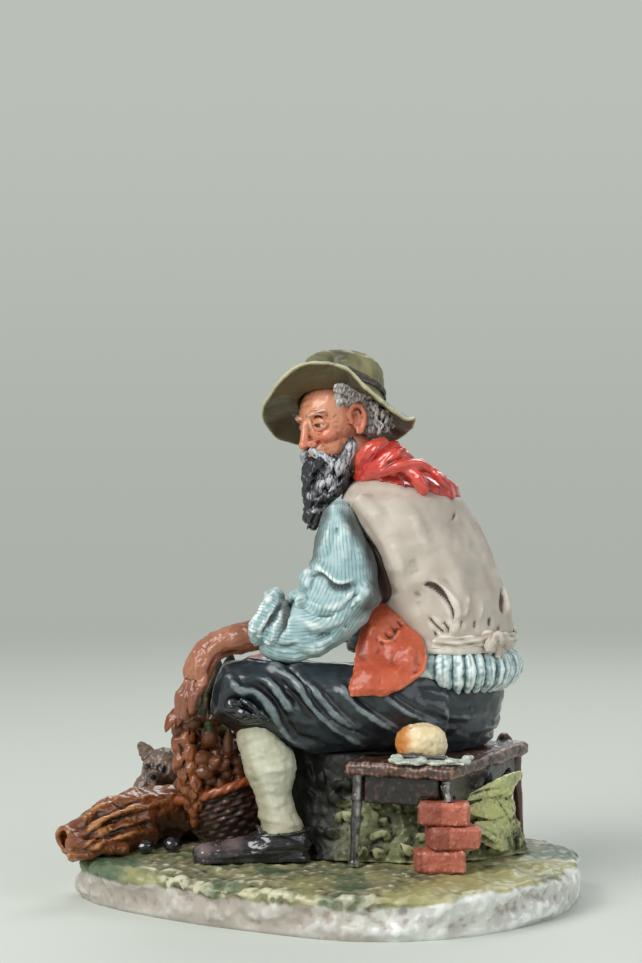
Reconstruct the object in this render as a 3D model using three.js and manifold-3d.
// Seated tramp figurine in painted porcelain: an old man on a low bench, his hand in a basket,
// with a sack, a puppy, a stack of bricks and a loaf, all on one irregular ground plinth.
// Every cast or hand-modelled piece is its own solid, luted to its neighbours along thin slip joints.
// Millimetres, +Z up, +X to the right of the front view, +Y away from it. The origin is the middle of
// the plinth's underside.

import * as THREE from "three";
import { mergeVertices } from "three/addons/utils/BufferGeometryUtils.js";
import Module from "manifold-3d";

const wasm = await Module();
wasm.setup();

// Joints between pieces, and how far a facet may stray when slivers left by a cut are merged
const SLIP_JOINT = 0.3;
const FACET_TOLERANCE = 0.04;

// Ground plinth
const BASE_THICKNESS = 18;
const BASE_EDGE_ROUND = 2.6;
// Turn of the low lumps in the ground from one outline point to the next
const LUMP_TURN = 2.5;

// Bench
const BENCH_HEIGHT = 44;
const BENCH_LENGTH = 102;
const BENCH_WIDTH = 49;
const BENCH_TURN = THREE.MathUtils.degToRad(-23);
const BENCH_CENTRE = { x: 47.5, y: 17 };
const PLANK_THICKNESS = 8;
const PLANK_ROUND = 1.4;
const LEG_INSET = 5;
const LEG_TOP_RADIUS = 2.6;
const LEG_FOOT_RADIUS = 1.9;
const APRON_DEPTH = 9;
const APRON_THICKNESS = 2.4;

// Bricks under the short leg
const BRICK_LENGTH = 21;
const BRICK_WIDTH = 14;
const BRICK_HEIGHT = 9.4;
const BRICK_ROUND = 1.1;

// Food on the bench
const LOAF_RADIUS = 11;
const LOAF_HEIGHT = 14.5;
const PAPER_LENGTH = 29;
const PAPER_WIDTH = 12;
const PAPER_THICKNESS = 1.3;
const KNIFE_LENGTH = 21;
const KNIFE_THICKNESS = 1.4;

// Basket
const BASKET_HEIGHT = 31;
const BASKET_FOOT_RADIUS = 15;
const BASKET_RIM_RADIUS = 22;
const BASKET_WALL = 2.4;
const BASKET_INNER_DEPTH = 15;
const BASKET_TILT = THREE.MathUtils.degToRad(19);
const CHESTNUT_RADIUS = 5.6;

// Figure
const HEAD_HEIGHT = 42;
const HEAD_WIDTH = 30;
const HEAD_DEPTH = 35;
const NECK_RADIUS = 10;
const CROWN_RADIUS = 18.5;
const CROWN_HEIGHT = 21.5;
const BRIM_RADIUS = 33;
const BRIM_THICKNESS = 1.8;
const BAND_WIDTH = 4.2;
const BAND_THICKNESS = 0.9;
const STRAP_WIDTH = 4.4;
const STRAP_THICKNESS = 1.3;
const PANEL_THICKNESS = 3.6;

const ground = BASE_THICKNESS;
const seat = ground + BENCH_HEIGHT;
const plankUnderside = seat - PLANK_THICKNESS;

const UP = new THREE.Vector3(0, 0, 1);
// Towards the front view
const NEAR = new THREE.Vector3(0, -1, 0);
// The man faces square to the bench's long side.
const FORWARD = new THREE.Vector3(-Math.cos(BENCH_TURN), -Math.sin(BENCH_TURN), 0);
const LEFT = UP.clone().cross(FORWARD);

// Solids

function solidOf(geometry) {
  const bare = geometry.clone();
  for (const name of Object.keys(bare.attributes)) {
    if (name !== "position") bare.deleteAttribute(name);
  }
  const merged = mergeVertices(bare, 1e-4);
  return new wasm.Manifold(
    new wasm.Mesh({
      numProp: 3,
      vertProperties: merged.attributes.position.array,
      triVerts: new Uint32Array(merged.index.array),
    }),
  );
}

function geometryOf(solid) {
  const { vertProperties, triVerts, numProp, numVert } = solid.getMesh();
  const positions = new Float32Array(numVert * 3);
  for (let i = 0; i < numVert; i++) {
    positions.set(vertProperties.subarray(i * numProp, i * numProp + 3), i * 3);
  }
  return new THREE.BufferGeometry()
    .setAttribute("position", new THREE.BufferAttribute(positions, 3))
    .setIndex(new THREE.BufferAttribute(triVerts, 1));
}

// Skins a stack of rings of equal length, closed by a fan at each end. Rings turn anticlockwise
// about the way from the first to the last.
function skin(rings) {
  const sides = rings[0].length;
  const middle = (ring) => ring.reduce((sum, p) => sum.add(p), new THREE.Vector3()).divideScalar(sides);
  const points = [...rings.flat(), middle(rings[0]), middle(rings.at(-1))];
  const first = points.length - 2;
  const last = points.length - 1;
  const top = (rings.length - 1) * sides;
  const faces = [];
  for (let j = 0; j < sides; j++) {
    const k = (j + 1) % sides;
    for (let i = 0; i < rings.length - 1; i++) {
      const low = i * sides;
      const high = low + sides;
      faces.push(low + j, low + k, high + k, low + j, high + k, high + j);
    }
    faces.push(first, k, j, last, top + j, top + k);
  }
  const geometry = new THREE.BufferGeometry().setFromPoints(points);
  geometry.setIndex(faces);
  return geometry;
}

// A rounded form through stations [x, y, z, half width across, half depth]. Across runs along side.
// level keeps the sections flat, as in a standing body; otherwise they are square to the path.
function loft(stations, { side = LEFT, sides = 16, level = false, grow = 0, fold = () => 0 } = {}) {
  const centres = stations.map(([x, y, z]) => new THREE.Vector3(x, y, z));
  const rings = stations.map(([, , , across, deep], i) => {
    const before = centres[Math.max(i - 1, 0)];
    const after = centres[Math.min(i + 1, centres.length - 1)];
    const along = level ? UP.clone() : after.clone().sub(before).normalize();
    const e1 = side.clone().addScaledVector(along, -side.dot(along)).normalize();
    const e2 = along.clone().cross(e1);
    const end = i === 0 ? -grow : i === centres.length - 1 ? grow : 0;
    const centre = centres[i].clone().addScaledVector(along, end);
    return Array.from({ length: sides }, (_, j) => {
      const angle = (2 * Math.PI * j) / sides;
      const swell = 1 + fold(angle, i / (stations.length - 1));
      return centre
        .clone()
        .addScaledVector(e1, (across * swell + grow) * Math.cos(angle))
        .addScaledVector(e2, (deep * swell + grow) * Math.sin(angle));
    });
  });
  return solidOf(skin(rings));
}

// An ellipsoid with half sizes along its own axes, turned by a quaternion.
function ball(centre, [rx, ry, rz], { grow = 0, turn = new THREE.Quaternion(), fine = 10 } = {}) {
  const geometry = new THREE.SphereGeometry(1, fine, Math.round(fine * 0.7));
  geometry.scale(rx + grow, ry + grow, rz + grow);
  geometry.applyQuaternion(turn);
  geometry.translate(centre.x, centre.y, centre.z);
  return solidOf(geometry);
}

// A block with rounded upright corners and softened faces, standing on z = 0 about its own middle.
function block(length, width, height, round, grow = 0) {
  const l = length / 2 + grow - round;
  const w = width / 2 + grow - round;
  const outline = new THREE.Shape();
  outline.absarc(l - round, w - round, round, 0, Math.PI / 2);
  outline.absarc(round - l, w - round, round, Math.PI / 2, Math.PI);
  outline.absarc(round - l, round - w, round, Math.PI, 1.5 * Math.PI);
  outline.absarc(l - round, round - w, round, 1.5 * Math.PI, 2 * Math.PI);
  return new THREE.ExtrudeGeometry(outline, {
    depth: height + 2 * grow - 2 * round,
    curveSegments: 2,
    bevelEnabled: true,
    bevelSize: round,
    bevelThickness: round,
    bevelSegments: 1,
  }).translate(0, 0, round - grow);
}

// Everything below a level, for feet that stand flat.
function below(level) {
  const far = 600;
  return solidOf(new THREE.BoxGeometry(far, far, far).translate(0, 0, level - far / 2));
}

// A form is a function of grow: grown by the slip joint, it cuts the pieces that sit against it.
const join = (...forms) => (grow) => forms.map((form) => form(grow)).reduce((a, b) => a.add(b));
const fit = (form, ...neighbours) =>
  neighbours.reduce((solid, neighbour) => solid.subtract(neighbour(SLIP_JOINT)), form(0));
const standing = (solid, level) => solid.subtract(below(level + SLIP_JOINT));
const largest = (solid) => solid.decompose().reduce((a, b) => (a.volume() > b.volume() ? a : b));

// Finishes

const finish = (color, roughness) => new THREE.MeshStandardMaterial({ color, roughness, metalness: 0 });
const PAINT = {
  ground: finish(0x8b9270, 0.5),
  grass: finish(0xa8ad6b, 0.5),
  wood: finish(0x4a352d, 0.45),
  brick: finish(0xa9563f, 0.6),
  bread: finish(0xe6c795, 0.55),
  paper: finish(0xb9c2ba, 0.55),
  steel: finish(0x3d3a40, 0.4),
  basket: finish(0x6b3a17, 0.45),
  fruit: finish(0x9a5526, 0.45),
  sack: finish(0x8a4f2a, 0.4),
  puppy: finish(0x7b6e60, 0.6),
  plum: finish(0x16161a, 0.15),
  breeches: finish(0x262a2e, 0.4),
  stocking: finish(0xb9b7a0, 0.6),
  shoe: finish(0x17161a, 0.2),
  shirt: finish(0xa9c3c4, 0.5),
  waistcoat: finish(0xb3a69a, 0.6),
  lining: finish(0xb0492b, 0.5),
  scarf: finish(0xc23f33, 0.3),
  skin: finish(0xc07a58, 0.5),
  hat: finish(0x7d7a52, 0.5),
  band: finish(0x4a4440, 0.5),
  hair: finish(0x5c5c60, 0.5),
};

// Groups of the assembly

const figurine = new THREE.Group();
const groups = {};
for (const name of ["plinth", "bench", "basket", "animals", "clothes", "body"]) {
  groups[name] = new THREE.Group();
  figurine.add(groups[name]);
}

// Adds a solid to a group as a named mesh, placed by the middle of its own box.
function piece(group, name, solid, material) {
  const geometry = geometryOf(largest(solid).asOriginal().simplify(FACET_TOLERANCE));
  geometry.computeBoundingBox();
  const middle = geometry.boundingBox.getCenter(new THREE.Vector3());
  geometry.translate(-middle.x, -middle.y, -middle.z);
  geometry.computeVertexNormals();
  const mesh = new THREE.Mesh(geometry, material);
  mesh.name = name;
  mesh.position.copy(middle);
  groups[group].add(mesh);
}

// Ground plinth

const BASE_OUTLINE = [
  [109, 28], [107, 0], [98, -30], [83, -52], [62, -74], [32, -87], [4, -86], [-30, -69],
  [-64, -45], [-93, -18], [-108, 6], [-109, 34], [-88, 65], [-50, 82], [6, 88], [52, 86], [90, 66],
];

function base(grow) {
  const curve = new THREE.CatmullRomCurve3(
    BASE_OUTLINE.map(([x, y]) => new THREE.Vector3(x, y, 0)),
    true,
  );
  const outline = curve.getSpacedPoints(36).slice(0, -1).reverse();
  // Nothing stands on the front margin and on the right part of the back margin.
  const isOpen = (p) => p.y < -8 || (p.y > 70 && p.x > 0);
  const ring = (level, inset, { ripple = 0, lump = 0, phase = 0 } = {}) =>
    outline.map((p, j) => {
      const share = 1 - (inset + ripple * Math.sin(5 * j + phase) - grow) / p.length();
      const rise = isOpen(p) ? lump * Math.sin(LUMP_TURN * j + phase) : 0;
      return new THREE.Vector3(p.x * share, p.y * share, level + rise);
    });
  return solidOf(
    skin([
      ring(-grow, 2),
      ring(BASE_THICKNESS * 0.25, 0.8, { ripple: 1.4 }),
      ring(BASE_THICKNESS * 0.6, 1.4, { ripple: 1.4, phase: 2 }),
      ring(BASE_THICKNESS - BASE_EDGE_ROUND, 0, { ripple: 1.2, lump: 0.8, phase: 1 }),
      ring(BASE_THICKNESS - 0.6 + grow, BASE_EDGE_ROUND, { lump: 1.2, phase: 1 }),
      ring(BASE_THICKNESS - 0.2 + grow, BASE_EDGE_ROUND * 4, { lump: 1.3, phase: 3.4 }),
      ring(BASE_THICKNESS - 0.2 + grow, BASE_EDGE_ROUND * 7.5, { lump: 1.2, phase: 5.6 }),
      ring(BASE_THICKNESS + grow, BASE_EDGE_ROUND * 11),
    ]),
  );
}
piece("plinth", "ground_base", base(0), PAINT.ground);

// Bench

// A place on the bench: along its length from the near end, across it from its middle.
const benchAxis = new THREE.Vector3(-Math.sin(BENCH_TURN), Math.cos(BENCH_TURN), 0);
const benchAcross = new THREE.Vector3(Math.cos(BENCH_TURN), Math.sin(BENCH_TURN), 0);
const onBench = (along, across, level) =>
  new THREE.Vector3(BENCH_CENTRE.x, BENCH_CENTRE.y, level)
    .addScaledVector(benchAxis, along - BENCH_LENGTH / 2)
    .addScaledVector(benchAcross, across);

// A block laid square to the bench, its length across the bench.
function benchBlock(sizeAcross, sizeAlong, height, round, at, grow = 0, turn = 0) {
  return solidOf(
    block(sizeAcross, sizeAlong, height, round, grow)
      .rotateZ(BENCH_TURN + turn)
      .translate(at.x, at.y, at.z),
  );
}

const plank = (grow) =>
  benchBlock(
    BENCH_WIDTH,
    BENCH_LENGTH,
    PLANK_THICKNESS,
    PLANK_ROUND,
    onBench(BENCH_LENGTH / 2, 0, plankUnderside),
    grow,
  );
piece("bench", "bench_seat", plank(0), PAINT.wood);

const legAcross = BENCH_WIDTH / 2 - LEG_INSET;
const brickTop = ground + 3 * (BRICK_HEIGHT + SLIP_JOINT);

function leg(along, across, foot) {
  const splay = 1.5;
  const top = onBench(along, across, plankUnderside - SLIP_JOINT);
  const low = onBench(
    along + splay * Math.sign(along - BENCH_LENGTH / 2),
    across + splay * Math.sign(across),
    foot + SLIP_JOINT,
  );
  const middle = top.clone().lerp(low, 0.5);
  const bead = LEG_FOOT_RADIUS * 1.15;
  return (grow) =>
    loft(
      [
        [low.x, low.y, low.z, bead, bead],
        [low.x, low.y, low.z + 2, LEG_FOOT_RADIUS, LEG_FOOT_RADIUS],
        [middle.x, middle.y, middle.z, LEG_FOOT_RADIUS * 1.1, LEG_FOOT_RADIUS * 1.1],
        [top.x, top.y, top.z, LEG_TOP_RADIUS, LEG_TOP_RADIUS],
      ],
      { sides: 8, level: true, grow },
    );
}
const legs = {
  near_left: leg(LEG_INSET, -legAcross, ground),
  near_right: leg(LEG_INSET, legAcross, brickTop),
  far_left: leg(BENCH_LENGTH - LEG_INSET, -legAcross, ground),
  far_right: leg(BENCH_LENGTH - LEG_INSET, legAcross, ground),
};
for (const [name, form] of Object.entries(legs)) piece("bench", "bench_leg_" + name, form(0), PAINT.wood);

// Aprons under the seat at the near end and along both sides
const apronTop = plankUnderside - SLIP_JOINT;
const apronGap = LEG_TOP_RADIUS + SLIP_JOINT;
const apronNear = (grow) =>
  benchBlock(
    2 * (legAcross - apronGap),
    APRON_THICKNESS,
    APRON_DEPTH,
    0.5,
    onBench(LEG_INSET, 0, apronTop - APRON_DEPTH),
    grow,
  );
const apronRight = (grow) =>
  benchBlock(
    APRON_THICKNESS,
    BENCH_LENGTH - 2 * (LEG_INSET + apronGap),
    APRON_DEPTH,
    0.5,
    onBench(BENCH_LENGTH / 2, legAcross, apronTop - APRON_DEPTH),
    grow,
  );
const apronLeft = (grow) =>
  benchBlock(
    APRON_THICKNESS,
    BENCH_LENGTH - 2 * (LEG_INSET + apronGap),
    APRON_DEPTH,
    0.5,
    onBench(BENCH_LENGTH / 2, -legAcross, apronTop - APRON_DEPTH),
    grow,
  );

// Bricks under the short near right leg, each turned a little
const BRICK_TURNS = [0.42, 0.62, 0.34];
const BRICK_SHIFTS = [[-2.5, -1], [2.5, 1], [-1, 0.5]];
const brickForms = BRICK_TURNS.map((turn, i) => (grow) => {
  const at = onBench(LEG_INSET + BRICK_SHIFTS[i][1], legAcross + BRICK_SHIFTS[i][0], 0);
  at.z = ground + SLIP_JOINT + i * (BRICK_HEIGHT + SLIP_JOINT);
  return benchBlock(BRICK_LENGTH, BRICK_WIDTH, BRICK_HEIGHT, BRICK_ROUND, at, grow, turn);
});
["brick_bottom", "brick_middle", "brick_top"].forEach((name, i) => {
  piece("bench", name, brickForms[i](0), PAINT.brick);
});
piece("bench", "bench_apron_near", fit(apronNear, ...brickForms), PAINT.wood);
piece("bench", "bench_apron_right", fit(apronRight, ...brickForms), PAINT.wood);
piece("bench", "bench_apron_left", apronLeft(0), PAINT.wood);

// Food on the near end of the bench

const paperAt = onBench(6.5, 12, seat + SLIP_JOINT);
const paper = (grow) => benchBlock(PAPER_LENGTH, PAPER_WIDTH, PAPER_THICKNESS, 0.4, paperAt, grow, 0.3);
const knifeAt = onBench(9, 7, seat + PAPER_THICKNESS + 2 * SLIP_JOINT);
const knife = (grow) => benchBlock(KNIFE_LENGTH, 3.2, KNIFE_THICKNESS, 0.4, knifeAt, grow, 0.15);
const loafAt = onBench(19, 3.5, seat + LOAF_HEIGHT * 0.42);
const loafSizes = [LOAF_RADIUS, LOAF_RADIUS * 0.92, LOAF_HEIGHT * 0.58];
const loaf = (grow) => ball(loafAt, loafSizes, { grow, fine: 14 });
piece("bench", "paper_sheet", paper(0), PAINT.paper);
piece("bench", "knife", knife(0), PAINT.steel);
piece("bench", "bread_roll", standing(fit(loaf, paper, knife), seat), PAINT.bread);

// Breeches: the seat rests on the bench, a leg runs from it to each knee

const HIPS = { x: 53, y: 34 };
const atHips = (level, across, deep) => [HIPS.x, HIPS.y, level, across, deep];
const breechesSeat = (grow) =>
  loft(
    [
      atHips(seat + SLIP_JOINT, 26, 14),
      atHips(seat + 5, 29.5, 16.5),
      atHips(seat + 17, 30.5, 21.5),
      atHips(seat + 29, 30, 22),
      atHips(seat + 38, 27, 21),
      atHips(seat + 43, 22, 16),
    ],
    { sides: 20, level: true, grow },
  );
// Folds run round a leg and slowly along it.
const clothFold = (angle, t) => 0.045 * Math.sin(4 * angle + 6 * t);
const leftThigh = (grow) =>
  loft(
    [
      [-50, 0, seat + 27, 6, 6],
      [-47, 0, seat + 26.5, 11, 12],
      [-38, 0, seat + 26, 14, 15.5],
      [-20, 2, seat + 22.5, 16, 18],
      [2, 6, seat + 20, 18, 19.5],
      [26, 11, seat + 20, 19, 20],
      [46, 16, seat + 20, 18, 19],
    ],
    { side: NEAR, grow, fold: clothFold },
  );
const rightThigh = (grow) =>
  loft(
    [
      [-47, 64, seat + 25, 6, 5],
      [-43, 64, seat + 24, 11, 9],
      [-32, 63, seat + 21, 13.5, 12.5],
      [-14, 62, seat + 19, 15, 13.5],
      [10, 60, seat + 17.5, 17, 15],
      [34, 56, seat + 18.5, 18, 17],
      [56, 50, seat + 19, 17, 18],
    ],
    { side: NEAR, grow, fold: clothFold },
  );
piece("clothes", "breeches_seat", fit(breechesSeat, plank), PAINT.breeches);
piece("clothes", "breeches_left", fit(leftThigh, breechesSeat, plank, loaf, apronLeft), PAINT.breeches);
const breechesRight = fit(rightThigh, breechesSeat, plank, leftThigh, apronLeft);
piece("clothes", "breeches_right", breechesRight, PAINT.breeches);

// Lower legs: knee cuff, stocking and shoe, worked out from the knee and the ground

function lowerLeg(side, knee, ankle, toe, thigh) {
  const toKnee = (share) => ankle.clone().lerp(knee, share);
  const station = (share, across, deep = across, push = 0) => {
    const p = toKnee(share);
    return [p.x + push, p.y, p.z, across, deep];
  };
  const along = { side: NEAR, sides: 12 };
  const cuff = (grow) =>
    loft(
      [station(0.94, 10, 10), station(0.99, 12.4, 12.4), station(1.1, 13, 13), station(1.22, 12, 12)],
      { ...along, grow },
    );
  const stocking = (grow) =>
    loft(
      [
        station(-0.14, 7, 8),
        station(0, 8.4, 9.2),
        station(0.16, 7.6, 8),
        station(0.34, 7.4, 7.8),
        station(0.54, 9.6, 10.2, 1.4),
        station(0.7, 10.6, 11.4, 2),
        station(0.88, 10, 10.4, 1),
        station(1.02, 8.6, 9),
      ],
      { ...along, grow },
    );
  const heel = new THREE.Vector3(ankle.x + 11.5, ankle.y, ground);
  const atFoot = (share, level, across, deep) => {
    const p = heel.clone().lerp(toe, share);
    return [p.x, p.y, ground + level, across, deep];
  };
  const shoe = (grow) =>
    loft(
      [
        atFoot(0, 6, 3.5, 3.5),
        atFoot(0.06, 8, 7, 7.5),
        atFoot(0.2, 8, 8.4, 9),
        atFoot(0.36, 7, 8.8, 8.2),
        atFoot(0.52, 5, 8.2, 6.6),
        atFoot(0.76, 3.6, 9, 5.8),
        atFoot(0.93, 3.4, 7.4, 5.2),
        atFoot(1, 3.4, 4, 3.4),
      ],
      { ...along, grow },
    );
  piece("clothes", "knee_cuff_" + side, fit(cuff, thigh), PAINT.breeches);
  piece("clothes", "stocking_" + side, fit(stocking, cuff, thigh), PAINT.stocking);
  piece("clothes", "shoe_" + side, standing(fit(shoe, stocking), ground), PAINT.shoe);
  return { cuff, stocking, shoe };
}
const leftLeg = lowerLeg(
  "left",
  new THREE.Vector3(-31, -1, seat + 10),
  new THREE.Vector3(-20.5, -6, ground + 13),
  new THREE.Vector3(-58, -11, ground),
  leftThigh,
);
const rightLeg = lowerLeg(
  "right",
  new THREE.Vector3(-34, 64, seat + 4),
  new THREE.Vector3(-25, 64, ground + 13),
  new THREE.Vector3(-56, 74, ground),
  rightThigh,
);

// Grass bank that carries the bench and the weight above it, and runs on under the knees

const grassFold = (angle, t) => 0.06 * Math.sin(5 * angle + 4 * t) + 0.04 * Math.sin(9 * angle);
const grassBank = (grow) => {
  const rise = plankUnderside - ground;
  return loft(
    [
      [30, 15, ground + SLIP_JOINT, 28, 52],
      [31, 15, ground + rise * 0.2, 27, 49],
      [30, 16, ground + rise * 0.5, 24, 48],
      [27, 17, ground + rise * 0.8, 22, 45],
      [21, 18, seat - 1, 21, 39],
      [7, 18, seat + 6, 16, 27],
    ],
    { side: NEAR, sides: 20, level: true, grow, fold: grassFold },
  );
};
piece(
  "plinth",
  "grass_bank",
  fit(
    grassBank,
    plank,
    apronNear,
    apronRight,
    apronLeft,
    ...Object.values(legs),
    ...brickForms,
    breechesSeat,
    leftThigh,
    rightThigh,
    leftLeg.cuff,
    leftLeg.stocking,
    leftLeg.shoe,
  ),
  PAINT.grass,
);

// Long leaves that lie against the bench's right side
const LEAF_WIDTHS = [6, 12, 10, 2.4];
const LEAF_THICKNESSES = [2.8, 4.4, 3.6, 1.6];
const leafForms = [
  [[55, -22, 26], [68, -4, 29], [82, 20, 30], [91, 34, 28]],
  [[66, -10, 20], [76, 6, 24], [84, 22, 26], [88, 32, 25]],
  [[60, -22, 12], [68, -12, 15], [76, 0, 14], [82, 12, 9]],
].map((points) => (grow) =>
  loft(
    points.map(([x, y, rise], i) => [x, y, ground + rise, LEAF_WIDTHS[i] / 2, LEAF_THICKNESSES[i] / 2]),
    { side: UP, sides: 8, grow },
  ),
);
leafForms.forEach((form, i) => {
  const bed = [grassBank, plank, apronRight, ...brickForms, ...leafForms.slice(0, i)];
  piece("plinth", `grass_leaf_${i + 1}`, fit(form, ...bed), PAINT.grass);
});

// Shirt tail bunched over the breeches

const tailFold = (angle, t) => 0.03 * Math.sin(11 * angle) * Math.sin(Math.PI * t);
const shirtTail = (grow) =>
  loft(
    [
      atHips(seat + 27, 31, 23.5),
      atHips(seat + 30.5, 35, 28.5),
      atHips(seat + 36, 36.5, 30),
      atHips(seat + 41, 35, 28.5),
      atHips(seat + 44, 31, 25),
    ],
    { sides: 26, level: true, grow, fold: tailFold },
  );
piece("clothes", "shirt_tail", fit(shirtTail, breechesSeat, leftThigh, rightThigh), PAINT.shirt);

// Waistcoat over the bent back

const waist = seat + 48;
const BACK = [
  atHips(waist - 6, 33, 27),
  atHips(waist - 3, 34, 28.5),
  atHips(waist, 31.5, 26.5),
  atHips(waist + 5, 33, 28),
  [50, 35, waist + 14, 35, 29.5],
  [45, 36.5, waist + 28, 36.5, 29],
  [40, 38, waist + 42, 37.5, 28],
  [36, 39.5, waist + 53, 37, 27],
  [32, 41, waist + 61, 34.5, 26],
  [29, 42.5, waist + 67, 27, 21],
  [27.5, 43, waist + 72, 17, 14],
  [27, 43, waist + 74.5, 9, 8],
];
// The left shoulder of the waistcoat comes forward over the top of the sleeve, down to the armpit.
const shoulderLeft = (grow) =>
  loft(
    [
      [12, 15, waist + 61, 6, 5.5],
      [18, 11, waist + 54, 7.5, 7.5],
      [25, 9, waist + 45, 8.5, 8.5],
      [30, 8.5, waist + 35, 8.5, 8.5],
      [33, 11, waist + 25, 7.5, 8],
      [34, 15, waist + 16, 5, 6],
    ],
    { side: NEAR, sides: 12, grow },
  );
const torso = join((grow) => loft(BACK, { sides: 24, level: true, grow }), shoulderLeft);
piece("clothes", "waistcoat", fit(torso, shirtTail, leftThigh, rightThigh, breechesSeat), PAINT.waistcoat);

// Cinch strap round the back of the waist, tied in a knot
const strapLevel = waist + 1;
const strap = (grow) => {
  const stations = [-1, -0.6, 0.6, 1].map((share) => {
    const swell = Math.abs(share) < 1 ? STRAP_THICKNESS : STRAP_THICKNESS * 0.6;
    return atHips(strapLevel + (share * STRAP_WIDTH) / 2, 32.5 + swell, 27.5 + swell);
  });
  const ring = loft(stations, { sides: 24, level: true, grow });
  const front = new THREE.BoxGeometry(200, 200, 40).rotateZ(BENCH_TURN);
  const cut = new THREE.Vector3(HIPS.x, HIPS.y, strapLevel).addScaledVector(FORWARD, 100 - 4);
  return ring.subtract(solidOf(front.translate(cut.x, cut.y, cut.z)));
};
piece("clothes", "cinch_strap", fit(strap, torso, shirtTail), PAINT.waistcoat);

const knotBall = (back, left, rise, sizes) => (grow) => {
  const at = new THREE.Vector3(HIPS.x, HIPS.y, strapLevel + rise);
  return ball(at.addScaledVector(FORWARD, -back).addScaledVector(LEFT, left), sizes, { grow, fine: 8 });
};
const knot = join(
  knotBall(27.5, 15.5, 0, [3.6, 4.2, 4]),
  knotBall(25.5, 20, -2.6, [2.8, 3.2, 3.8]),
  knotBall(29.5, 11, -2, [2.6, 3.2, 3.4]),
);
piece("clothes", "strap_knot", fit(knot, strap, torso, shirtTail), PAINT.waistcoat);

// Terracotta front panels that hang open below the arms

function frontPanel(points) {
  return (grow) =>
    loft(
      points.map(([x, y, rise, across], i) => {
        const share = i === 0 || i === points.length - 1 ? 0.5 : 1;
        return [x, y, seat + rise, across, PANEL_THICKNESS * share];
      }),
      { side: new THREE.Vector3(1, 0, 0), sides: 14, level: true, grow },
    );
}
const leftPanel = frontPanel([
  [15, -12.5, 26.5, 7],
  [19.5, -11, 30, 12],
  [24, -8, 35, 15],
  [25.5, -3, 42, 15.5],
  [25.5, 3, 50, 14],
  [22, 8, 58, 9],
  [21, 13, 65, 4],
]);
const rightPanel = frontPanel([
  [18, 77, 29, 4],
  [20, 77, 33, 8],
  [23, 75, 40, 11],
  [25, 71, 47, 10],
  [26, 69, 56, 8],
  [26, 66, 64, 4],
]);
const panelBed = [torso, shirtTail, leftThigh, rightThigh, breechesSeat, strap, plank];
piece("clothes", "waistcoat_front_left", fit(leftPanel, ...panelBed), PAINT.lining);
piece("clothes", "waistcoat_front_right", fit(rightPanel, ...panelBed), PAINT.lining);

// Arms: sleeve, rolled cuff and bare forearm with the hand

const along = { side: NEAR, sides: 14 };
const sleeveLeft = join(
  (grow) =>
    loft(
      [
        [5, 17, seat + 108, 4, 3.5],
        [4, 14, seat + 103, 9, 7],
        [4, 10, seat + 94, 11.5, 10.5],
        [6, 7, seat + 81, 13, 14.5],
        [5, 4, seat + 71, 13.5, 17],
        [1, 3, seat + 62, 13, 14.5],
        [0, 2.5, seat + 55, 8, 9],
      ],
      { ...along, grow },
    ),
  (grow) =>
    loft(
      [
        [16, 5, seat + 70, 6, 6],
        [10, 4, seat + 66, 11, 10.5],
        [1, 3, seat + 60, 13, 13],
        [-9, 1, seat + 55, 12.5, 13.5],
        [-19, 0, seat + 53.5, 12, 12.5],
      ],
      { ...along, grow },
    ),
);
const cuffLeft = (grow) =>
  loft(
    [
      [-19.5, 0, seat + 53.5, 12, 12],
      [-22, 0, seat + 53.5, 13.8, 14.5],
      [-29, -0.5, seat + 53.5, 13.6, 14.8],
      [-33.5, -0.5, seat + 54, 10.5, 12],
    ],
    { ...along, grow },
  );
const handLeft = (grow) =>
  loft(
    [
      [-30, -0.5, seat + 52, 7, 7],
      [-39, -1, seat + 50, 7, 7],
      [-48, -1, seat + 48, 7.2, 6.4],
      [-54, -1.5, seat + 43.5, 8, 5.8],
      [-57.5, -1.5, seat + 36, 8.8, 5.4],
      [-60, -1, seat + 28, 8.4, 4.8],
      [-62.5, -0.5, seat + 19, 7, 4],
      [-66, 0, seat + 11, 4.5, 2.5],
    ],
    { ...along, sides: 12, grow },
  );
const sleeveRight = (grow) =>
  loft(
    [
      [38, 62, seat + 105, 8, 8],
      [34, 69, seat + 99, 12, 12],
      [31, 74, seat + 85, 13, 13.5],
      [29, 76, seat + 70, 13, 14],
      [27, 77, seat + 58, 11, 12],
      [26, 77, seat + 49, 6, 7],
    ],
    { ...along, grow },
  );
const cuffRight = (grow) =>
  loft(
    [
      [22, 77, seat + 53, 9, 9],
      [19, 77, seat + 52, 11, 11],
      [13, 76.5, seat + 51, 10.5, 11],
      [10, 76, seat + 50, 8.5, 9],
    ],
    { ...along, grow },
  );
const handRight = (grow) =>
  loft(
    [
      [12, 76, seat + 50, 6.2, 6.4],
      [0, 74, seat + 47, 6.2, 6],
      [-14, 71, seat + 43, 5.6, 5.2],
      [-26, 69, seat + 40, 7.4, 4.4],
      [-37, 68, seat + 36, 7.4, 3.6],
      [-46, 68, seat + 30, 5, 2.4],
    ],
    { ...along, sides: 12, grow },
  );
piece("clothes", "sleeve_left", fit(sleeveLeft, torso, leftThigh, leftPanel, shirtTail), PAINT.shirt);
piece("clothes", "sleeve_cuff_left", fit(cuffLeft, sleeveLeft, leftThigh), PAINT.shirt);
piece("clothes", "sleeve_right", fit(sleeveRight, torso, rightThigh, rightPanel), PAINT.shirt);
piece("clothes", "sleeve_cuff_right", fit(cuffRight, sleeveRight, rightThigh, rightPanel), PAINT.shirt);
piece("body", "hand_left", fit(handLeft, cuffLeft, leftThigh), PAINT.skin);
piece("body", "hand_right", fit(handRight, cuffRight, rightThigh), PAINT.skin);

// Head, turned towards the front view and tipped over to the far side

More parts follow.
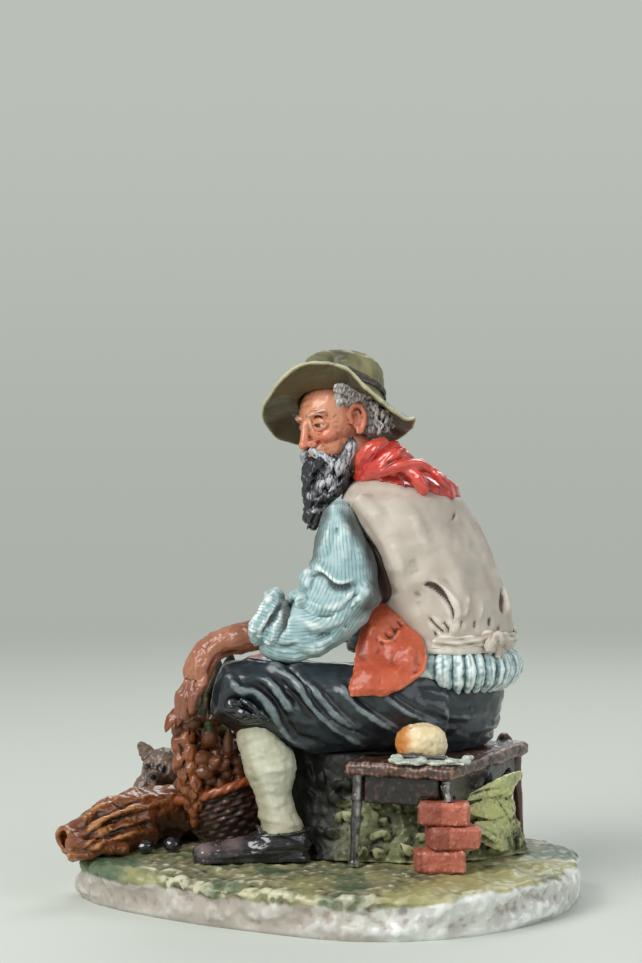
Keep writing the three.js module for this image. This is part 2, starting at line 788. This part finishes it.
const neckFoot = new THREE.Vector3(25, 43, waist + 66);
const headAt = new THREE.Vector3(2, 41, waist + 95);
const HEAD_YAW = THREE.MathUtils.degToRad(214);
const HEAD_PITCH = THREE.MathUtils.degToRad(12);
const HEAD_ROLL = THREE.MathUtils.degToRad(8);
const headTurn = new THREE.Quaternion().setFromEuler(
  new THREE.Euler(HEAD_ROLL, HEAD_PITCH, HEAD_YAW, "ZYX"),
);
// A place in the head's own frame: forward to the face, left, up.
const onHead = (forward, left, up) =>
  new THREE.Vector3(forward, left, up).applyQuaternion(headTurn).add(headAt);
const headBall = (forward, left, up, sizes, fine = 10) => (grow) =>
  ball(onHead(forward, left, up), sizes, { grow, turn: headTurn, fine });

const skull = join(
  headBall(0, 0, 2, [HEAD_DEPTH / 2, HEAD_WIDTH / 2, HEAD_HEIGHT / 2 - 2], 14),
  headBall(5, 0, -9, [HEAD_DEPTH * 0.31, HEAD_WIDTH * 0.36, HEAD_HEIGHT * 0.27], 12),
);
const neck = (grow) =>
  loft(
    [
      [neckFoot.x, neckFoot.y, neckFoot.z, NECK_RADIUS * 1.15, NECK_RADIUS * 1.1],
      [15, 42.5, waist + 78, NECK_RADIUS, NECK_RADIUS],
      [9, 42, waist + 88, NECK_RADIUS * 0.95, NECK_RADIUS],
    ],
    { sides: 14, grow },
  );
const nose = join(
  headBall(HEAD_DEPTH * 0.47, 0, 0, [3, 2.2, 5], 6),
  headBall(HEAD_DEPTH * 0.53, 0, -3.2, [3.4, 3.2, 2.8], 7),
);
const ears = join(
  headBall(-2, HEAD_WIDTH * 0.49, -2, [3.6, 2, 5.4], 7),
  headBall(-2, -HEAD_WIDTH * 0.49, -2, [3.6, 2, 5.4], 7),
);
const wholeHead = join(skull, neck, nose, ears);
piece("body", "head", fit(wholeHead, torso), PAINT.skin);

// Hat: a soft felt crown and a wide rolling brim, tipped away from the front view

const hatTurn = new THREE.Quaternion().setFromUnitVectors(
  UP,
  new THREE.Vector3(0.05, 0.45, 0.88).normalize(),
);
const hatAt = headAt.clone().add(new THREE.Vector3(2.5, 2, 8));
// The brim's edge at twelve places round it, anticlockwise from the right of the front view: how far
// it rises, and its share of the radius. It hangs steeply over the near ear and sags on the left.
const BRIM_EDGE = [
  [-6, 1.01], [-5, 1.02], [-4, 0.97], [-5, 0.94], [-7, 0.96], [-8.5, 1], [-7.5, 1.03], [-5, 1.03],
  [3.5, 0.98], [1, 0.94], [-8.5, 0.87], [-14, 0.93],
];
const brimCurve = new THREE.CatmullRomCurve3(
  BRIM_EDGE.map(([rise, share]) => new THREE.Vector3(rise, share, 0)),
  true,
);

// share is how much of the brim's rise a ring takes.
function hatRing(radius, level, share, grow) {
  const sides = 26;
  return Array.from({ length: sides }, (_, j) => {
    const angle = (2 * Math.PI * j) / sides;
    const edge = brimCurve.getPoint(j / sides);
    const oval = share === 0 ? 1 + 0.06 * Math.cos(2 * angle) : edge.y;
    return new THREE.Vector3(
      (radius * oval + grow) * Math.cos(angle),
      (radius * oval + grow) * Math.sin(angle),
      level + share * edge.x,
    )
      .applyQuaternion(hatTurn)
      .add(hatAt);
  });
}
const hat = (grow) =>
  solidOf(
    skin([
      hatRing(CROWN_RADIUS * 0.8, -grow, 0, grow),
      hatRing(CROWN_RADIUS * 1.25, -0.8 - grow, 0.25, grow),
      hatRing(BRIM_RADIUS - BRIM_THICKNESS / 2, -grow, 1, grow),
      hatRing(BRIM_RADIUS, BRIM_THICKNESS / 2, 1, grow),
      hatRing(BRIM_RADIUS - BRIM_THICKNESS / 2, BRIM_THICKNESS + grow, 1, grow),
      hatRing(CROWN_RADIUS * 1.25, 1.4 + grow, 0.25, grow),
      hatRing(CROWN_RADIUS, BRIM_THICKNESS + grow, 0, grow),
      hatRing(CROWN_RADIUS * 0.97, CROWN_HEIGHT * 0.45, 0, grow),
      hatRing(CROWN_RADIUS * 0.92, CROWN_HEIGHT * 0.82, 0, grow),
      hatRing(CROWN_RADIUS * 0.8, CROWN_HEIGHT + grow, 0, grow),
      hatRing(CROWN_RADIUS * 0.35, CROWN_HEIGHT * 0.95 + grow, 0, grow),
    ]),
  );
piece("clothes", "hat", fit(hat, wholeHead), PAINT.hat);

const bandLow = BRIM_THICKNESS + 0.6;
const hatBand = (grow) =>
  solidOf(
    skin([
      hatRing(CROWN_RADIUS + BAND_THICKNESS * 0.7, bandLow, 0, grow),
      hatRing(CROWN_RADIUS + BAND_THICKNESS, bandLow + 1, 0, grow),
      hatRing(CROWN_RADIUS + BAND_THICKNESS * 0.9, bandLow + BAND_WIDTH, 0, grow),
    ]),
  );
piece("clothes", "hat_band", fit(hatBand, hat), PAINT.band);

// Neckerchief round the neck and over the upper back

const scarfFold = (angle, t) => 0.05 * Math.sin(6 * angle + 5 * t);
const scarf = (grow) =>
  loft(
    [
      [36.5, 41, waist + 61, 26, 21.5],
      [33.5, 42, waist + 67, 25.5, 22.5],
      [28.5, 43, waist + 73, 20, 18.5],
      [25, 43.5, waist + 79, 14.6, 13.5],
      [22, 43.5, waist + 83.5, 12.4, 12],
      [20, 43, waist + 87, 11, 10.5],
    ],
    { sides: 18, level: true, grow, fold: scarfFold },
  );
piece("clothes", "neckerchief", fit(scarf, torso, wholeHead, sleeveLeft, sleeveRight, hat), PAINT.scarf);

// Hair in locks round the back of the head, beard and moustache

const lock = (deep, across, up) =>
  headBall(HEAD_DEPTH * deep, HEAD_WIDTH * across, up, [5.8, 5.2, 6.4], 7);
const hair = join(
  lock(0.13, 0.43, 8),
  lock(-0.12, 0.47, 7),
  lock(-0.3, 0.4, 0),
  lock(-0.43, 0.18, -3),
  lock(-0.43, -0.18, -3),
  lock(-0.3, -0.4, 0),
  lock(-0.12, -0.47, 7),
);
piece("body", "hair", fit(hair, wholeHead, hat, scarf), PAINT.hair);

const beard = join(
  (grow) =>
    loft(
      [
        [2, 37.5, waist + 81, 9.5, 9.5],
        [0, 36.5, waist + 76, 11.5, 11.5],
        [-2, 35, waist + 68, 10, 9.5],
        [-4, 34, waist + 61, 7.5, 7],
        [-6.5, 33.5, waist + 54.5, 5, 4.5],
        [-8, 33, waist + 47.5, 2.2, 2.2],
      ],
      { sides: 12, grow },
    ),
  headBall(3, HEAD_WIDTH * 0.4, -11, [5, 4.6, 7], 8),
  headBall(3, -HEAD_WIDTH * 0.4, -11, [5, 4.6, 7], 8),
);
const beardBed = [wholeHead, scarf, torso, sleeveLeft, sleeveRight, hair];
piece("body", "beard", fit(beard, ...beardBed), PAINT.hair);
const moustache = join(
  headBall(HEAD_DEPTH * 0.46, HEAD_WIDTH * 0.12, -HEAD_HEIGHT * 0.2, [3.6, 4.8, 2.6], 8),
  headBall(HEAD_DEPTH * 0.46, -HEAD_WIDTH * 0.12, -HEAD_HEIGHT * 0.2, [3.6, 4.8, 2.6], 8),
);
piece("body", "moustache", fit(moustache, wholeHead, beard), PAINT.hair);

// Basket between the feet, leaning over, and what it holds

const basketTurn = new THREE.Quaternion().setFromAxisAngle(new THREE.Vector3(0, 1, 0), -BASKET_TILT);
const basketFoot = new THREE.Vector3(-37, 31, ground);
function basketShell(points) {
  const profile = points.map(([radius, level]) => new THREE.Vector2(radius, level));
  const geometry = new THREE.LatheGeometry(profile, 20).rotateX(Math.PI / 2);
  geometry.applyQuaternion(basketTurn);
  return solidOf(geometry.translate(basketFoot.x, basketFoot.y, basketFoot.z));
}
// Its foot is sunk, so that the leaning basket still stands flat.
const basketSunk = 6;
const basketOuter = (grow) =>
  basketShell(
    [
      [0, -basketSunk - grow],
      [BASKET_FOOT_RADIUS * 0.9 + grow, -basketSunk - grow],
      [BASKET_FOOT_RADIUS + grow, 1],
      [(BASKET_FOOT_RADIUS + BASKET_RIM_RADIUS) / 2 + 1.6 + grow, BASKET_HEIGHT * 0.5],
      [BASKET_RIM_RADIUS + grow, BASKET_HEIGHT - 3],
      [BASKET_RIM_RADIUS + 1 + grow, BASKET_HEIGHT - 1],
      [BASKET_RIM_RADIUS - 0.6 + grow, BASKET_HEIGHT + grow],
      [0, BASKET_HEIGHT + grow],
    ],
  );
const basketHollow = () =>
  basketShell(
    [
      [0, BASKET_HEIGHT - BASKET_INNER_DEPTH],
      [BASKET_RIM_RADIUS - BASKET_WALL - 2.5, BASKET_HEIGHT - BASKET_INNER_DEPTH],
      [BASKET_RIM_RADIUS - BASKET_WALL, BASKET_HEIGHT + 2],
      [0, BASKET_HEIGHT + 2],
    ],
  );
const feet = [leftLeg.stocking, leftLeg.shoe, leftLeg.cuff, rightLeg.stocking];
const basketSolid = fit(basketOuter, ...feet).subtract(basketHollow());
piece("basket", "basket", standing(basketSolid, ground), PAINT.basket);

// A place above the basket's foot, in the leaning basket's own frame
const inBasket = (x, y, rise) => new THREE.Vector3(x, y, rise).applyQuaternion(basketTurn).add(basketFoot);
// The heap is smooth inside the basket and lumpy above its rim.
const heapFold = (angle, t) => (t > 0.3 ? 0.07 * Math.sin(7 * angle + 9 * t) : 0);
const heap = (grow) => {
  const innerRadius = BASKET_RIM_RADIUS - BASKET_WALL - SLIP_JOINT;
  const rim = [
    [BASKET_HEIGHT - BASKET_INNER_DEPTH + SLIP_JOINT, innerRadius - 3.2],
    [BASKET_HEIGHT - 2, innerRadius - 1.6],
    [BASKET_HEIGHT + 6, innerRadius - 0.5],
    [BASKET_HEIGHT + 15, innerRadius - 3],
    [BASKET_HEIGHT + 23, innerRadius - 8],
    [BASKET_HEIGHT + 27, innerRadius - 15],
  ];
  const stations = rim.map(([rise, radius]) => [
    ...inBasket(rise * 0.06, 0, rise).toArray(),
    radius,
    radius,
  ]);
  return loft(stations, { side: NEAR, sides: 14, grow, fold: heapFold });
};
// Leaves and husks stand up from the back of the heap to the hand.
const sheaf = (grow) =>
  loft(
    [
      [-49, 33, ground + 50, 9, 9],
      [-50, 36, ground + 62, 10, 9],
      [-50.5, 38, ground + 72, 8.5, 7.5],
      [-50, 39, ground + 80, 6, 5.5],
      [-49, 40, ground + 86, 2.5, 2.5],
    ],
    { side: NEAR, sides: 12, grow, fold: heapFold },
  );
const wholeHeap = join(heap, sheaf);
const basketForm = (grow) => basketOuter(grow).subtract(basketHollow());
const legBed = [leftLeg.cuff, leftLeg.stocking, rightLeg.cuff, rightLeg.stocking];
const heapBed = [leftThigh, rightThigh, ...legBed, handLeft, handRight];
piece("basket", "fruit_heap", largest(fit(wholeHeap, basketForm, ...heapBed)), PAINT.fruit);

// Dry leaves hang over the rim and down the outside, on the side away from the feet
const HUSK_ANGLE = THREE.MathUtils.degToRad(208);
const husks = (grow) => {
  const stations = [
    [BASKET_HEIGHT + 21, BASKET_RIM_RADIUS * 0.62, 7],
    [BASKET_HEIGHT + 12, BASKET_RIM_RADIUS * 0.92, 9],
    [BASKET_HEIGHT + 1, BASKET_RIM_RADIUS + 3.4, 10],
    [BASKET_HEIGHT * 0.62, BASKET_RIM_RADIUS + 2.2, 9],
    [BASKET_HEIGHT * 0.3, BASKET_RIM_RADIUS - 1.4, 6],
    [BASKET_HEIGHT * 0.12, BASKET_RIM_RADIUS - 4, 3],
  ].map(([rise, reach, across]) => {
    const at = inBasket(reach * Math.cos(HUSK_ANGLE), reach * Math.sin(HUSK_ANGLE), rise);
    return [...at.toArray(), across, 2.6];
  });
  const side = new THREE.Vector3(-Math.sin(HUSK_ANGLE), Math.cos(HUSK_ANGLE), 0);
  const fold = (angle, t) => 0.08 * Math.sin(5 * angle + 12 * t);
  return loft(stations, { side, sides: 12, grow, fold });
};
const huskSolid = fit(husks, basketOuter, wholeHeap, ...heapBed);
piece("basket", "basket_husks", standing(huskSolid, ground), PAINT.fruit);

// Chestnuts lie on the heap where the front view meets it
const CHESTNUT_PLACES = [[160, 10], [200, 13], [232, 7], [262, 11], [120, 14]];
const chestnuts = CHESTNUT_PLACES.map(([degrees, rise]) => (grow) => {
  const angle = THREE.MathUtils.degToRad(degrees);
  const reach = BASKET_RIM_RADIUS - 2.5 - rise * 0.35;
  const at = inBasket(reach * Math.cos(angle), reach * Math.sin(angle), BASKET_HEIGHT + rise);
  const turn = new THREE.Quaternion().setFromAxisAngle(UP, angle);
  const halves = [CHESTNUT_RADIUS * 0.8, CHESTNUT_RADIUS, CHESTNUT_RADIUS * 1.1];
  return ball(at, halves, { grow, turn, fine: 10 });
});
chestnuts.forEach((form, i) => {
  const bed = [wholeHeap, husks, basketOuter, ...heapBed, ...chestnuts.slice(0, i)];
  piece("basket", `chestnut_${i + 1}`, fit(form, ...bed), PAINT.fruit);
});

// Sack, lying with its gathered mouth over the plinth's edge

const sackFold = (angle, t) => (0.05 + 0.06 * t) * Math.sin(6 * angle + 3 * t);
const sackBody = (grow) =>
  loft(
    [
      [-56, 58, ground + 10, 9, 7],
      [-62, 53, ground + 11, 13, 11],
      [-72, 44, ground + 11, 15, 12],
      [-84, 32, ground + 10.5, 14, 11.5],
      [-96, 19, ground + 9.5, 12, 10],
      [-105, 9, ground + 8, 9.5, 8],
      [-112, 2, ground + 6, 8, 7],
    ],
    { side: new THREE.Vector3(-0.7, -0.7, 0), sides: 18, grow, fold: sackFold },
  );
const sackMouth = () =>
  loft(
    [
      [-103, 11, ground + 8, 3, 2.6],
      [-108, 6, ground + 7, 4.6, 4],
      [-116, -2, ground + 5, 6, 5],
    ],
    { side: new THREE.Vector3(-0.7, -0.7, 0), sides: 12 },
  );
const sackFull = fit(sackBody, base, rightLeg.shoe, leftLeg.shoe, basketOuter, husks);
const sackSolid = sackFull.subtract(sackMouth());
piece("animals", "sack", sackSolid, PAINT.sack);

// Puppy, sitting behind the sack with its head over it

const puppyHeadAt = new THREE.Vector3(-75, 62, ground + 31.5);
const puppyBody = (grow) =>
  loft(
    [
      [-70, 64, ground + SLIP_JOINT, 9, 10],
      [-70, 64, ground + 8, 9.5, 10],
      [-72, 64, ground + 18, 8, 9],
      [-74, 63, ground + 26, 6, 6.5],
    ],
    { sides: 12, level: true, grow },
  );
const puppyPart = (x, y, z, sizes) => (grow) =>
  ball(puppyHeadAt.clone().add(new THREE.Vector3(x, y, z)), sizes, { grow, fine: 10 });
const puppySkull = join(
  puppyPart(0, 0, 0, [10.5, 9, 9]),
  puppyPart(-4, -8, -4, [5.4, 5.5, 4.4]),
  puppyPart(-9.5, 1, 7.5, [4.4, 2, 3]),
  puppyPart(8.5, 2, 7.5, [4.4, 2, 3]),
);
piece("animals", "puppy_head", fit(puppySkull, sackBody, husks), PAINT.puppy);
piece("animals", "puppy_body", fit(puppyBody, sackBody, puppySkull, base, rightLeg.shoe), PAINT.puppy);

// Two dark plums on the ground before the sack

[[-80, 13, 3.4], [-68.5, 17, 3.8]].forEach(([x, y, radius], i) => {
  const at = new THREE.Vector3(x, y, ground + radius * 0.85);
  const plum = (grow) => ball(at, [radius * 1.2, radius, radius], { grow });
  piece("plinth", `plum_${i + 1}`, standing(fit(plum, sackBody), ground), PAINT.plum);
});

export default figurine;
